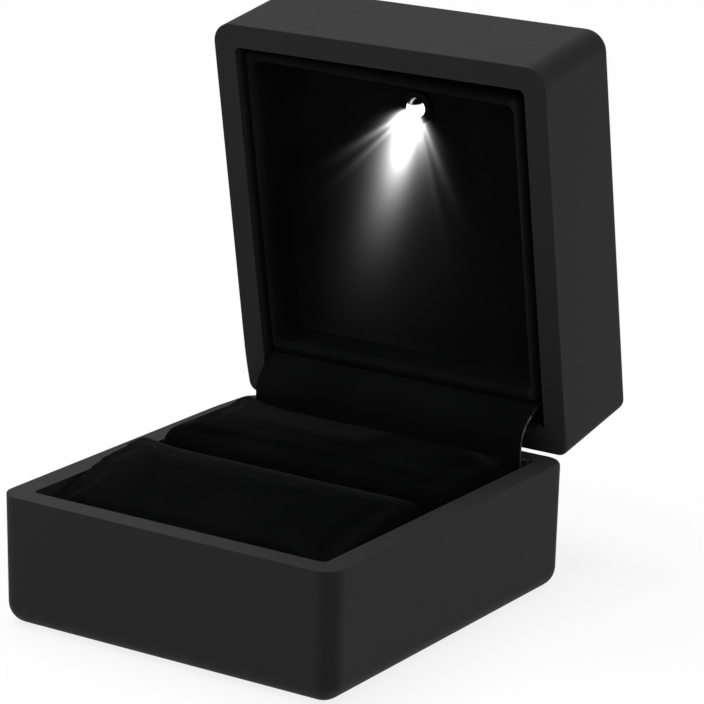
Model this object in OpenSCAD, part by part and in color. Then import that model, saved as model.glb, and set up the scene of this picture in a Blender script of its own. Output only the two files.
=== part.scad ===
// Ring box with a lamp in its lid, shown open. Millimetres, +Z up, front at -Y.
// The origin is at the middle of the base's underside.
// Lid pieces are drawn with the lid shut, then turned open about the hinge pin.

/* [Case] */
// Width of the case, side to side
case_w = 60; // [54:0.5:72]
// Depth of the base, front to back
case_d = 65.6; // [62:0.2:78]
// Height of the base, from underside to rim
base_h = 20.4; // [19:0.2:26]
// Height of the lid, from rim to top
lid_h = 19.6; // [19.2:0.2:26]
// Wall thickness of both shells, which is the width of the rims
wall_t = 3.8; // [3.2:0.1:4.4]
// Thickness of the base's floor
floor_t = 2.2; // [1.6:0.1:3]
// Thickness of the lid's roof
roof_t = 2.2; // [1.6:0.1:2.4]
// How far the lid's front stands behind the base's front, for a thumb
thumb_step = 1.8; // [0.5:0.1:2.2]
// Radius of the upright corners, outside
corner_r = 3.4; // [3.3:0.1:5]
// Radius of the lid's two upright corners beside the hinge
hinge_corner_r = 1.8; // [0.6:0.1:2.4]
// Radius of the upright corners, inside
inner_r = 1; // [0.6:0.1:2]
// Radius along the base's bottom edges
base_edge_r = 3.3; // [1:0.1:3.3]
// Radius along the lid's top edges
lid_edge_r = 1.6; // [1:0.1:3]
// Radius on the rims' outer edges
rim_r = 0.5; // [0.4:0.05:0.8]

/* [Opening] */
// Angle between the shut lid and the open lid
open_angle = 80; // [60:1:84]
// Gap between the two rims when the lid is shut
rim_gap = 0.15; // [0.12:0.01:0.3]
// Distance of the hinge pin from the back face
pin_inset = 0.2; // [0.15:0.05:0.4]
// Height of the hinge pin above the base's rim
pin_rise = 0.55; // [0.5:0.05:0.8]

/* [Hinge] */
// Radius of the hinge pin
pin_r = 0.6; // [0.4:0.05:0.7]
// Radius of the rolled knuckles
knuckle_r = 1.3; // [1.1:0.05:1.4]
// Number of knuckles, both leaves together
knuckles = 5; // [3:2:7]
// Width of the knuckle row
knuckle_row_w = 26; // [18:1:32]
// Gap between two knuckles
knuckle_gap = 0.15; // [0.1:0.05:0.3]
// Radial play of the pin in the lid's knuckles
pin_play = 0.05; // [0.02:0.01:0.1]
// Radial play of the pin in the base's knuckles, which grip it
pin_grip = 0.01; // [0.01:0.01:0.03]
// Sheet thickness of the hinge leaves
leaf_t = 0.6; // [0.4:0.05:0.6]
// Height of the leaf that is screwed to the base
base_leaf_h = 9; // [7:0.5:11]
// Height of the leaf that is screwed to the lid
lid_leaf_h = 9.5; // [7:0.5:11]
// Gap round the knuckles in the notches of the two back walls
notch_gap = 0.25; // [0.2:0.05:0.4]
// Distance of the leaf screws from the middle
leaf_screw_x = 18; // [15:0.5:21]
// Width of the snap spring
spring_w = 8; // [5:0.5:12]
// Thickness of the snap spring
spring_t = 0.3; // [0.2:0.05:0.35]
// Radius of the snap spring's bend
spring_bend_r = 5.2; // [5.1:0.05:5.3]

/* [Cushions] */
// Thickness of the card under the cushions
board_t = 1.2; // [0.8:0.1:2]
// Gap between the cushions and the shell
cushion_gap = 0.3; // [0.2:0.05:0.6]
// Width of the slit that grips the ring
slit_w = 0.8; // [0.4:0.1:1.6]
// Height of the cushions' crests above the rim
crest_rise = 2.3; // [1:0.1:4]
// Depth of the front cushion's front edge below the rim
front_dip = 2.4; // [1:0.1:4]
// Height of the cushions' ends above the rim, under the lid liner's lip
end_rise = 0.3; // [0:0.05:0.3]
// Depth of the seam line of the cushions below the rim
cushion_edge_depth = 5; // [3:0.5:8]
// How far the cushions' sides are drawn in between the corners
draw_in = 0.35; // [0:0.05:0.6]
// Thickness of the flap that hides the hinge
cover_t = 0.5; // [0.3:0.1:0.6]
// Height above the rim where the flap starts to bend back over the hinge
cover_rise = 3.2; // [2:0.1:3.4]
// Length of the flap that is glued along the lid liner's back
cover_hold = 5; // [3:0.5:6]
// Room for the hinge behind the flap
hinge_room = 2.5; // [2.4:0.05:2.6]

/* [Lid liner] */
// Width of the groove between the liner and the lid's wall
groove_w = 1.2; // [0.6:0.1:2]
// Thickness of the liner's sides, velvet included
liner_t = 1.6; // [1.2:0.1:2]
// Depth of the liner's lip behind the lid's rim
lip_recess = 0.6; // [0.5:0.05:1.2]
// Depth of the liner's panel behind the lid's rim
dish_depth = 8.6; // [7:0.1:9]
// Thickness of the liner's panel
panel_t = 1; // [0.8:0.1:1.2]
// Radius of the liner's sides round the corners, at the middle of their thickness
liner_turn_r = 1.2; // [1:0.1:2]
// Gap between the liner's back and the flap that hides the hinge
liner_back_gap = 0.5; // [0.5:0.05:1]
// Diameter of the posts that carry the liner
post_d = 5; // [4:0.5:6]
// Thickness of the adhesive discs on the posts
tape_t = 0.4; // [0.2:0.05:0.6]

/* [Lamp] */
// Distance of the lamp from the lid's front wall
lamp_inset = 8.2; // [7:0.1:12]
// Diameter of the lamp
lamp_d = 3; // [2.8:0.1:3.4]
// Diameter of the lamp's foot
lamp_foot_d = 3.8; // [3.6:0.1:4.2]
// Length of the lamp from foot to tip
lamp_len = 4.4; // [4:0.1:5.3]
// Diameter of the bezel's flange
bezel_d = 5.6; // [5:0.1:7]
// Thickness of the bezel's flange
bezel_t = 0.5; // [0.4:0.1:0.8]
// Width of the circuit board
pcb_w = 26; // [25:0.5:32]
// Length of the circuit board
pcb_len = 33; // [32:0.5:36]
// Thickness of the circuit board
pcb_t = 0.8; // [0.6:0.1:1]
// Gap between the liner's panel and the circuit board
pcb_gap = 1.4; // [1.3:0.1:1.6]
// Diameter of the button cells
cell_d = 12.5; // [11:0.1:12.6]
// Thickness of one button cell
cell_t = 2; // [1.6:0.1:2]
// Outside of the square battery holder
holder_w = 16.4; // [15.8:0.2:17]
// Diameter of the ball in the tilt switch
ball_d = 2.2; // [1.8:0.1:2.2]
// Travel of the ball in the tilt switch
ball_travel = 1.6; // [1:0.1:1.8]
// Tilt of the switch above the board
switch_tilt = 25; // [15:1:25]

/* [Hidden] */
$fn = 48;
over = 1;                   // how far a cutter runs past the face that it cuts

// Case
in_x = case_w / 2 - wall_t;             // inner side face
in_back = case_d / 2 - wall_t;          // inner back face, base and lid
base_front = -in_back;                  // inner front face of the base
lid_d = case_d - thumb_step;
lid_mid_y = thumb_step / 2;             // middle of the lid's depth
lid_front = lid_mid_y - lid_d / 2 + wall_t;
lid_z = base_h + rim_gap;               // rim plane of the shut lid
lid_room = lid_h - roof_t;              // depth of the lid's hollow

// Hinge
pin_y = case_d / 2 - pin_inset;
pin_z = base_h + pin_rise;
row_x = knuckle_row_w / 2;
pitch = knuckle_row_w / knuckles;
tongue_z = knuckle_r - 0.05;            // outer face of a tongue, from the pin's axis
// bottom of the notch in the base's back wall, below both the knuckles and the tongues
notch_z = min(base_h - leaf_t, pin_z - knuckle_r) - notch_gap;
leaf_x = in_x - inner_r;                // half the width of a leaf
leaf_y = in_back - leaf_t;              // front face of the leaves' plates
screw_r = 0.8;
screw_len = 2.8;
head_r = 1.6;
head_t = 0.6;
thread_play = 0.02;
base_screw_z = base_h - base_leaf_h * 0.62;
lid_leaf_low = pin_z + tongue_z - leaf_t;
lid_screw_z = lid_leaf_low + lid_leaf_h * 0.55;
spring_y = leaf_y - 0.65;               // back face of the spring's straight part

// Cushions
seat_z = floor_t + board_t;
cover_y = leaf_y - hinge_room;          // back face of the flap where it stands
cushion_back = cover_y - cover_t - cushion_gap * 2;
cushion_x = in_x - cushion_gap;
cushion_front = base_front + cushion_gap;

// Lid liner, heights measured from the lid's rim
liner_x = in_x - groove_w;
liner_front = lid_front + groove_w;
liner_back = pin_y - norm([pin_y - cover_y + cover_t, cover_rise - pin_rise]) - liner_back_gap / 3;
post_x = liner_x - 4.5;
post_front = liner_front + 6;
post_back = liner_back - 5;
panel_z = lid_z + dish_depth;
roof_z = lid_z + lid_room;

// Lamp board
pcb_z = panel_z + panel_t + pcb_gap;
pcb_top = pcb_z + pcb_t;
lamp_y = lid_front + lamp_inset;
pcb_front = lamp_y - 5.4;
pcb_back = pcb_front + pcb_len;
board_screw_at = [[-10.4, pcb_front + 2.6], [10.4, pcb_front + 2.6], [10.4, pcb_back - 2.6]];
boss_d = 4.2;
holder_x = -3.6;
holder_y = pcb_back - holder_w / 2 - 0.6;
cell_play = 0.15;
contact_t = 0.25;
cells_z = pcb_top + contact_t + 0.02;
holder_h = 2 * cell_t - 0.6;
clip_z = cells_z + 2 * cell_t + 0.04;
clip_w = 3.4;
lead_r = 0.24;
lead_play = 0.06;
lamp_lead_x = 1.27;
switch_x = 8.6;
switch_y = pcb_back - 13;
switch_play = 0.08;
can_wall = 0.3;
can_r = ball_d / 2 + switch_play + can_wall;
plug_len = 1.6;
can_len = can_wall + ball_travel + ball_d + plug_len + 2 * switch_play;
switch_z = (pcb_top + roof_z) / 2;
switch_pin_x = 0.7;
switch_pin_out = 1;         // length of the pins outside the can, along its axis
switch_pin_y = switch_y + (can_len / 2 + switch_pin_out) * cos(switch_tilt);
switch_pin_top = switch_z + (can_len / 2 + switch_pin_out) * sin(switch_tilt) + 2 * lead_r;
resistor_y = switch_y - 9;
resistor_r = 0.9;
resistor_len = 3.4;

// A 2D outline of length len and height high, with its lower and upper corners rounded
module edge_profile(len, high, low_r, high_r) {
    translate([-len / 2, low_r]) square([len, high - low_r - high_r]);
    translate([-len / 2 + low_r, 0]) square([len - 2 * low_r, low_r + 0.1]);
    translate([-len / 2 + high_r, high - high_r - 0.1]) square([len - 2 * high_r, high_r + 0.1]);
    for (side = [-1, 1]) {
        translate([side * (len / 2 - low_r), low_r]) circle(low_r);
        translate([side * (len / 2 - high_r), high - high_r]) circle(high_r);
    }
}

// A block with round upright corners, whose lower and upper edges are rounded all round
module rounded_block(w, d, high, plan_r, low_r, high_r) {
    rotate([90, 0, 0])
        linear_extrude(d - 2 * plan_r, center = true) edge_profile(w, high, low_r, high_r);
    rotate([90, 0, 90])
        linear_extrude(w - 2 * plan_r, center = true) edge_profile(d, high, low_r, high_r);
    for (x = [-1, 1], y = [-1, 1])
        translate([x * (w / 2 - plan_r), y * (d / 2 - plan_r), 0]) rotate_extrude()
            intersection() {
                edge_profile(2 * plan_r, high, low_r, high_r);
                square([plan_r, high]);
            }
}

// A flat rectangle with round corners
module rounded_rect(w, d, r) {
    square([w - 2 * r, d], center = true);
    square([w, d - 2 * r], center = true);
    for (x = [-1, 1], y = [-1, 1]) translate([x * (w / 2 - r), y * (d / 2 - r)]) circle(r);
}

// Turns a piece that is drawn with the lid shut to where the open lid carries it
module opened() {
    translate([0, pin_y, pin_z]) rotate([-open_angle, 0, 0]) translate([0, -pin_y, -pin_z])
        children();
}

// Holes for the screws of a leaf, in the back wall
module leaf_screw_holes(z) {
    for (x = [-leaf_screw_x, leaf_screw_x]) translate([x, in_back - over, z]) rotate([-90, 0, 0])
        cylinder(h = screw_len - leaf_t + over, r = screw_r + thread_play);
}

// A pan-head screw that points to +Z, with its head's underside at z = 0
module pan_screw(len) {
    cylinder(h = len, r = screw_r);
    translate([0, 0, -head_t]) cylinder(h = head_t, r1 = head_r * 0.8, r2 = head_r);
}

// Base shell: floor, four thick walls, and a shallow notch in the back wall for the knuckles
module base_shell() {
    color([0.16, 0.16, 0.16]) difference() {
        rounded_block(case_w, case_d, base_h, corner_r, base_edge_r, rim_r);
        translate([0, 0, floor_t]) linear_extrude(base_h)
            rounded_rect(2 * in_x, 2 * in_back, inner_r);
        translate([-row_x - notch_gap, in_back - over, notch_z])
            cube([2 * (row_x + notch_gap), wall_t + 2 * over, base_h]);
        leaf_screw_holes(base_screw_z);
    }
}

// Card that closes the cushions below and stands on the floor
module base_board() {
    color([0.3, 0.27, 0.23]) translate([0, 0, floor_t]) linear_extrude(board_t)
        rounded_rect(2 * cushion_x, 2 * (in_back - cushion_gap), inner_r);
}

function smooth_step(low, high, t) =
    let (s = max(0, min(1, (t - low) / (high - low)))) s * s * (3 - 2 * s);
function crown(t, power) = sqrt(1 - pow(min(1, abs(t)), power));

// One point of a cushion's top. u and v run from -1 to 1 over its width and depth,
// and rise(v) is the height of its ridge line above the rim.
function cushion_point(u, v, front, back, rise) =
    let (x = u * (cushion_x - draw_in * (1 - v * v)),
        y = (front + back) / 2 + v * (back - front) / 2,
        ridge = rise(v),
        under_lip = max(smooth_step(liner_x - liner_t - 5, liner_x - liner_t - 0.4, abs(x)),
            smooth_step(liner_back - liner_t - 4, liner_back - liner_t - 0.5, y)),
        top = ridge - max(0, ridge - end_rise) * under_lip,
        edge = -cushion_edge_depth)
    [x, y, base_h + edge + (top - edge) * crown(u, 14) * crown(v, 10)];

// A closed cushion: a crowned top on a grid, sides that bulge a little, and a flat underside
module cushion(front, back, rise) {
    nx = 22;
    ny = 14;
    mid = [0, (front + back) / 2];
    us = [for (i = [0:nx]) sin(180 * i / nx - 90)];
    vs = [for (j = [0:ny]) sin(180 * j / ny - 90)];
    grid = [for (u = us) for (v = vs) cushion_point(u, v, front, back, rise)];
    rim = concat([for (i = [0:nx - 1]) i * (ny + 1)], [for (j = [0:ny - 1]) nx * (ny + 1) + j],
        [for (i = [nx:-1:1]) i * (ny + 1) + ny], [for (j = [ny:-1:1]) j]);
    n = len(rim);
    levels = [[0.985, (base_h - cushion_edge_depth + seat_z) / 2], [0.97, seat_z]];
    sides = [for (l = levels) for (k = rim)
        [mid.x + (grid[k].x - mid.x) * l[0], mid.y + (grid[k].y - mid.y) * l[0], l[1]]];
    side0 = len(grid);
    foot = side0 + n;
    centre = side0 + 2 * n;
    faces = concat(
        [for (i = [0:nx - 1]) for (j = [0:ny - 1]) let (a = i * (ny + 1) + j, b = a + ny + 1)
            each [[a, a + 1, b + 1], [a, b + 1, b]]],
        [for (k = [0:n - 1]) let (m = (k + 1) % n)
            each [[rim[k], rim[m], side0 + m], [rim[k], side0 + m, side0 + k]]],
        [for (k = [0:n - 1]) let (m = (k + 1) % n)
            each [[side0 + k, side0 + m, foot + m], [side0 + k, foot + m, foot + k]]],
        [for (k = [0:n - 1]) [foot + k, foot + (k + 1) % n, centre]]);
    polyhedron(points = concat(grid, sides, [[mid.x, mid.y, seat_z]]), faces = faces);
}

// Front half of the ring cushion, which slopes up from the front rim to the slit
module front_cushion() {
    color([0.06, 0.06, 0.07]) cushion(cushion_front, -slit_w / 2,
        function (v) -front_dip + (crest_rise + front_dip) * smooth_step(-1.2, 0.75, v));
}

// Rear half of the ring cushion, level behind the slit
module rear_cushion() {
    color([0.06, 0.06, 0.07]) cushion(slit_w / 2, cushion_back,
        function (v) crest_rise - 0.4 * smooth_step(-0.6, 0.4, v));
}

// Where the open lid carries a point of the shut lid, as [y, z]
function open_point(y, z) = let (c = cos(open_angle), n = sin(open_angle))
    [pin_y + c * (y - pin_y) + n * (z - pin_z), pin_z - n * (y - pin_y) + c * (z - pin_z)];
function curve_point(p, t) = pow(1 - t, 3) * p[0] + 3 * t * pow(1 - t, 2) * p[1]
    + 3 * t * t * (1 - t) * p[2] + pow(t, 3) * p[3];
function curve_run(p, t) = pow(1 - t, 2) * (p[1] - p[0]) + 2 * t * (1 - t) * (p[2] - p[1])
    + t * t * (p[3] - p[2]);

// Velvet flap that stands on the card, bends back over the hinge and is glued to the liner
module hinge_cover() {
    steps = 12;
    stand = [cover_y - cover_t / 2, base_h + cover_rise];
    back = liner_back + cover_t / 2 + 0.02;
    join = open_point(back, lid_z + lip_recess + liner_t);
    hold = open_point(back, lid_z + lip_recess + liner_t + cover_hold);
    along = (hold - join) / norm(hold - join);
    bend = [stand, stand + [0, 4], join - 4.5 * along, join];
    course = concat([for (i = [0:steps]) curve_point(bend, i / steps)], [hold]);
    runs = concat([for (i = [0:steps]) curve_run(bend, i / steps)], [along]);
    sides = [for (i = [0:len(course) - 1]) let (n = runs[i] / norm(runs[i])) [-n.y, n.x] * cover_t / 2];
    outline = concat([[stand.x - cover_t / 2, seat_z]],
        [for (i = [0:len(course) - 1]) course[i] + sides[i]],
        [for (i = [len(course) - 1:-1:0]) course[i] - sides[i]], [[stand.x + cover_t / 2, seat_z]]);
    color([0.09, 0.09, 0.09]) rotate([90, 0, 90])
        linear_extrude(2 * cushion_x, center = true) polygon(outline);
}

// Knuckles of one leaf: every second place from first, joined to its plate by flat tongues.
// at_pin and at_plate are the heights of a tongue's outer face at its two ends, from the pin.
module knuckle_row(first, at_pin, at_plate, bore_r) {
    inward = at_pin > 0 ? -leaf_t : leaf_t;
    difference() {
        for (k = [first:2:knuckles - 1])
            translate([-row_x + k * pitch + knuckle_gap / 2, pin_y, pin_z]) rotate([90, 0, 90])
                linear_extrude(pitch - knuckle_gap) {
                    circle(knuckle_r);
                    polygon([[0, at_pin], [0, at_pin + inward],
                        [leaf_y - pin_y, at_plate + inward], [leaf_y - pin_y, at_plate]]);
                }
        translate([-row_x - over, pin_y, pin_z]) rotate([0, 90, 0])
            cylinder(h = 2 * (row_x + over), r = bore_r);
    }
}

// Leaf that is screwed inside the base's back wall
module hinge_base_leaf() {
    color([0.75, 0.75, 0.77]) difference() {
        union() {
            knuckle_row(0, -tongue_z, base_h - leaf_t - pin_z, pin_r + pin_grip);
            translate([-leaf_x, leaf_y, base_h - base_leaf_h]) cube([2 * leaf_x, leaf_t, base_leaf_h]);
        }
        for (x = [-leaf_screw_x, leaf_screw_x])
            translate([x, leaf_y - over, base_screw_z]) rotate([-90, 0, 0])
                cylinder(h = leaf_t + 2 * over, r = screw_r + thread_play);
    }
}

// Leaf that is screwed inside the lid's back wall
module hinge_lid_leaf() {
    color([0.78, 0.78, 0.8]) opened() difference() {
        union() {
            knuckle_row(1, tongue_z, tongue_z, pin_r + pin_play);
            translate([-leaf_x, leaf_y, lid_leaf_low]) cube([2 * leaf_x, leaf_t, lid_leaf_h]);
        }
        for (x = [-leaf_screw_x, leaf_screw_x])
            translate([x, leaf_y - over, lid_screw_z]) rotate([-90, 0, 0])
                cylinder(h = leaf_t + 2 * over, r = screw_r + thread_play);
    }
}

// Pin through all the knuckles
module hinge_pin() {
    color([0.6, 0.6, 0.62]) translate([-row_x, pin_y, pin_z]) rotate([0, 90, 0])
        cylinder(h = 2 * row_x, r = pin_r);
}

// Screws of the base leaf
module hinge_base_screws() {
    color([0.55, 0.55, 0.57]) for (x = [-leaf_screw_x, leaf_screw_x])
        translate([x, leaf_y, base_screw_z]) rotate([-90, 0, 0]) pan_screw(screw_len);
}

// Screws of the lid leaf
module hinge_lid_screws() {
    color([0.55, 0.55, 0.57]) opened() for (x = [-leaf_screw_x, leaf_screw_x])
        translate([x, leaf_y, lid_screw_z]) rotate([-90, 0, 0]) pan_screw(screw_len);
}

// Bowed strip that bears on the base leaf below and on the lid leaf's tongues above
module snap_spring() {
    foot_z = pin_z - base_leaf_h;
    bend_y = spring_y + spring_bend_r - spring_t;
    sweep = 84;
    color([0.7, 0.7, 0.72]) {
        translate([-spring_w / 2, spring_y - spring_t, foot_z])
            cube([spring_w, spring_t, base_h - foot_z + 0.05]);
        translate([-spring_w / 2, spring_y - spring_t, foot_z])
            cube([spring_w, leaf_y - spring_y + spring_t, spring_t]);
        translate([-spring_w / 2, bend_y, base_h]) rotate([0, 90, 0])
            rotate([0, 0, 270 - sweep]) rotate_extrude(angle = sweep) translate([spring_bend_r - spring_t, 0])
                square([spring_t, spring_w]);
    }
}

// The lid's solid block: round front corners, and tighter ones beside the hinge
module lid_block() {
    translate([0, lid_mid_y, 0]) rounded_block(case_w, lid_d, lid_h, corner_r, rim_r, lid_edge_r);
    intersection() {
        linear_extrude(lid_h) difference() {
            translate([-case_w / 2, lid_mid_y]) square([case_w, lid_d / 2]);
            for (side = [-1, 1])
                translate([side * (case_w / 2 - hinge_corner_r), case_d / 2 - hinge_corner_r])
                    difference() {
                        translate([side > 0 ? 0 : -hinge_corner_r - over, 0])
                            square(hinge_corner_r + over);
                        circle(hinge_corner_r);
                    }
        }
        rotate([90, 0, 0]) linear_extrude(2 * case_d, center = true)
            edge_profile(case_w, lid_h, rim_r, lid_edge_r);
        translate([0, lid_mid_y, 0]) rotate([90, 0, 90]) linear_extrude(case_w, center = true)
            edge_profile(lid_d, lid_h, rim_r, lid_edge_r);
    }
}

// Lid shell: roof, four thick walls, a notch for the knuckles, posts and bosses on the roof
module lid_shell() {
    color([0.16, 0.16, 0.16]) opened() difference() {
        union() {
            difference() {
                translate([0, 0, lid_z]) lid_block();
                translate([0, lid_mid_y, lid_z - over]) linear_extrude(lid_room + over)
                    rounded_rect(2 * in_x, lid_d - 2 * wall_t, inner_r);
            }
            for (x = [-post_x, post_x], y = [post_front, post_back])
                translate([x, y, panel_z + panel_t + tape_t])
                    cylinder(h = roof_z + 0.1 - panel_z - panel_t - tape_t, d = post_d);
            for (at = board_screw_at) translate([at.x, at.y, pcb_top])
                cylinder(h = roof_z + 0.1 - pcb_top, d = boss_d);
        }
        translate([-row_x - notch_gap, in_back - over, lid_z - over])
            cube([2 * (row_x + notch_gap), wall_t + 2 * over,
                pin_z + knuckle_r + notch_gap - lid_z + over]);
        leaf_screw_holes(lid_screw_z);
        for (at = board_screw_at) translate([at.x, at.y, pcb_top - over])
            cylinder(h = screw_len + over, r = screw_r + thread_play);
    }
}

// Cross-section of the liner's side: an upright with a half-round lip at its free edge
module liner_side(lip_z) {
    translate([0, lip_z]) circle(liner_t / 2);
    translate([-liner_t / 2, lip_z]) square([liner_t, panel_z + panel_t - lip_z]);
}

// Velvet-wrapped dish with a rounded lip, and a hole for the lamp's bezel
module lid_liner() {
    lip_z = lid_z + lip_recess + liner_t / 2;
    side_x = liner_x - liner_t / 2;
    side_y = (liner_back - liner_front - liner_t) / 2;
    run_x = side_x - liner_turn_r;
    run_y = side_y - liner_turn_r;
    mid_y = (liner_front + liner_back) / 2;
    color([0.07, 0.07, 0.08]) opened() translate([0, mid_y, 0]) difference() {
        union() {
            for (y = [-side_y, side_y]) translate([0, y, 0]) rotate([90, 0, 90])
                linear_extrude(2 * run_x, center = true) liner_side(lip_z);
            for (x = [-side_x, side_x]) translate([x, 0, 0]) rotate([90, 0, 0])
                linear_extrude(2 * run_y, center = true) liner_side(lip_z);
            for (x = [0, 1], y = [0, 1])
                translate([(2 * x - 1) * run_x, (2 * y - 1) * run_y, 0])
                    rotate([0, 0, x > 0 ? (y > 0 ? 0 : 270) : (y > 0 ? 90 : 180)])
                        rotate_extrude(angle = 90) translate([liner_turn_r, 0]) liner_side(lip_z);
            translate([0, 0, panel_z]) linear_extrude(panel_t)
                rounded_rect(2 * side_x, 2 * side_y, liner_turn_r);
        }
        translate([0, lamp_y - mid_y, panel_z - over])
            cylinder(h = panel_t + 2 * over, d = bezel_d - 1.2);
    }
}

// Adhesive discs between the posts and the liner
module liner_tape() {
    color([0.8, 0.78, 0.72]) opened()
        for (x = [-post_x, post_x], y = [post_front, post_back])
            translate([x, y, panel_z + panel_t]) cylinder(h = tape_t, d = post_d);
}

// Bezel that holds the lamp in the liner's panel
module led_bezel() {
    color([0.1, 0.1, 0.1]) opened() translate([0, lamp_y, panel_z]) difference() {
        union() {
            translate([0, 0, -bezel_t]) cylinder(h = bezel_t, d1 = bezel_d - 0.8, d2 = bezel_d);
            cylinder(h = panel_t + 0.2, d = bezel_d - 1.2 - 2 * lead_play);
        }
        translate([0, 0, -over]) cylinder(h = panel_t + 2 * over, d = lamp_d + 0.2);
    }
}

// Lamp: a round body with a domed tip and a wider foot on the circuit board
module led_lamp() {
    tip = lamp_len - lamp_d / 2;
    color([1, 1, 0.97]) opened() translate([0, lamp_y, pcb_z]) mirror([0, 0, 1]) {
        cylinder(h = tip, d = lamp_d);
        cylinder(h = 1, d = lamp_foot_d);
        translate([0, 0, tip]) sphere(d = lamp_d);
    }
}

// The lamp's two wires, trimmed behind the board
module led_leads() {
    color([0.8, 0.8, 0.78]) opened() for (x = [-lamp_lead_x, lamp_lead_x])
        translate([x, lamp_y, pcb_z]) cylinder(h = pcb_t + 1.1, r = lead_r);
}

// Circuit board on three bosses, drilled for every wire and screw
module circuit_board() {
    holes = concat([for (x = [-lamp_lead_x, lamp_lead_x]) [x, lamp_y]],
        [for (x = [-switch_pin_x, switch_pin_x]) [switch_x + x, switch_pin_y]],
        [for (y = [-1, 1]) [switch_x, resistor_y + y * (resistor_len / 2 + 1)]]);
    color([0.1, 0.35, 0.2]) opened() translate([0, 0, pcb_z]) difference() {
        translate([-pcb_w / 2, pcb_front, 0]) cube([pcb_w, pcb_len, pcb_t]);
        for (at = holes) translate([at.x, at.y, -over])
            cylinder(h = pcb_t + 2 * over, r = lead_r + lead_play);
        for (at = board_screw_at) translate([at.x, at.y, -over])
            cylinder(h = pcb_t + 2 * over, r = screw_r + thread_play);
    }
}

// Screws that hold the board on its bosses
module board_screws() {
    color([0.55, 0.55, 0.57]) opened() for (at = board_screw_at)
        translate([at.x, at.y, pcb_z]) pan_screw(screw_len + pcb_t - 0.2);
}

// Square frame round the two cells
module battery_holder() {
    color([0.12, 0.12, 0.12]) opened() translate([holder_x, holder_y, pcb_top]) difference() {
        translate([-holder_w / 2, -holder_w / 2, 0]) cube([holder_w, holder_w, holder_h]);
        translate([0, 0, -over]) cylinder(h = holder_h + 2 * over, d = cell_d + 2 * cell_play);
        translate([-clip_w / 2 - cell_play, 0, -over])
            cube([clip_w + 2 * cell_play, holder_w, contact_t + 0.05 + over]);
    }
}

// One button cell: a can with a round edge and a smaller lid below
module button_cell(z) {
    rim = 0.3;
    color([0.82, 0.82, 0.84]) opened() translate([holder_x, holder_y, z]) {
        translate([0, 0, rim]) cylinder(h = cell_t - 2 * rim, d = cell_d);
        translate([0, 0, cell_t - rim]) cylinder(h = rim, d1 = cell_d, d2 = cell_d - 2 * rim);
        cylinder(h = rim, d = cell_d - 2.4);
    }
}
module cell_lower() button_cell(cells_z);
module cell_upper() button_cell(cells_z + cell_t + 0.02);

// Negative contact: a strip on the board under the cells
module contact_tongue() {
    color([0.85, 0.72, 0.35]) opened() translate([holder_x, holder_y, pcb_top]) {
        cylinder(h = contact_t, d = cell_d - 3);
        translate([-clip_w / 2, 0, 0]) cube([clip_w, holder_w / 2 + 0.4, contact_t]);
    }
}

// Positive contact: a strap over the cells, with one leg in front of the holder
module contact_clip() {
    leg_y = -holder_w / 2 - contact_t;
    color([0.85, 0.72, 0.35]) opened() translate([holder_x, holder_y, 0]) {
        translate([-clip_w / 2, leg_y, clip_z]) cube([clip_w, holder_w - 1, contact_t]);
        translate([-clip_w / 2, leg_y, pcb_top]) cube([clip_w, contact_t, clip_z + contact_t - pcb_top]);
        translate([-clip_w / 2, leg_y - 1, pcb_top]) cube([clip_w, 1 + contact_t, contact_t]);
    }
}

// Resistor on the board
module resistor() {
    color([0.75, 0.62, 0.42]) opened()
        translate([switch_x, resistor_y - resistor_len / 2, pcb_top + resistor_r + 0.1])
            rotate([-90, 0, 0]) cylinder(h = resistor_len, r = resistor_r);
}

// The resistor's wires, bent down into the board
module resistor_leads() {
    color([0.8, 0.8, 0.78]) opened() for (side = [-1, 1])
        translate([switch_x, resistor_y, 0]) {
            translate([0, side * (resistor_len / 2 + 1), pcb_z - 0.4])
                cylinder(h = pcb_t + resistor_r + 0.5 + lead_r, r = lead_r);
            translate([0, side * (resistor_len / 2 + 0.5), pcb_top + resistor_r + 0.1])
                rotate([90, 0, 0]) cylinder(h = 1, r = lead_r, center = true);
        }
}

// Places a piece of the tilt switch: +Z then runs up along the can towards its pins
module on_switch_axis() {
    opened() translate([switch_x, switch_y, switch_z]) rotate([switch_tilt - 90, 0, 0])
        translate([0, 0, -can_len / 2]) children();
}

// Metal can of the tilt switch, open at the plug's end
module tilt_switch_can() {
    color([0.8, 0.8, 0.82]) on_switch_axis() difference() {
        cylinder(h = can_len, r = can_r);
        translate([0, 0, can_wall]) cylinder(h = can_len, r = can_r - can_wall);
    }
}

// Plug with two pins, which the ball bridges when the lid is open
module tilt_switch_header() {
    color([0.2, 0.2, 0.22]) {
        on_switch_axis() {
            translate([0, 0, can_len - plug_len]) cylinder(h = plug_len, r = can_r - can_wall - 0.02);
            for (x = [-switch_pin_x, switch_pin_x]) translate([x, 0, can_len - 0.4])
                cylinder(h = switch_pin_out + 0.4, r = lead_r - 0.05);
        }
        opened() for (x = [-switch_pin_x, switch_pin_x])
            translate([switch_x + x, switch_pin_y, pcb_z - 0.4])
                cylinder(h = switch_pin_top - pcb_z + 0.4, r = lead_r);
    }
}

// Steel ball of the tilt switch, resting against the plug
module tilt_switch_ball() {
    color([0.9, 0.9, 0.92]) on_switch_axis()
        translate([0, 0, can_len - plug_len - switch_play - ball_d / 2]) sphere(d = ball_d);
}

base_shell();
base_board();
front_cushion();
rear_cushion();
hinge_cover();
hinge_base_leaf();
hinge_base_screws();
hinge_pin();
snap_spring();
lid_shell();
lid_liner();
liner_tape();
hinge_lid_leaf();
hinge_lid_screws();
led_bezel();
led_lamp();
led_leads();
circuit_board();
board_screws();
battery_holder();
cell_lower();
cell_upper();
contact_tongue();
contact_clip();
resistor();
resistor_leads();
tilt_switch_can();
tilt_switch_header();
tilt_switch_ball();
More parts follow.
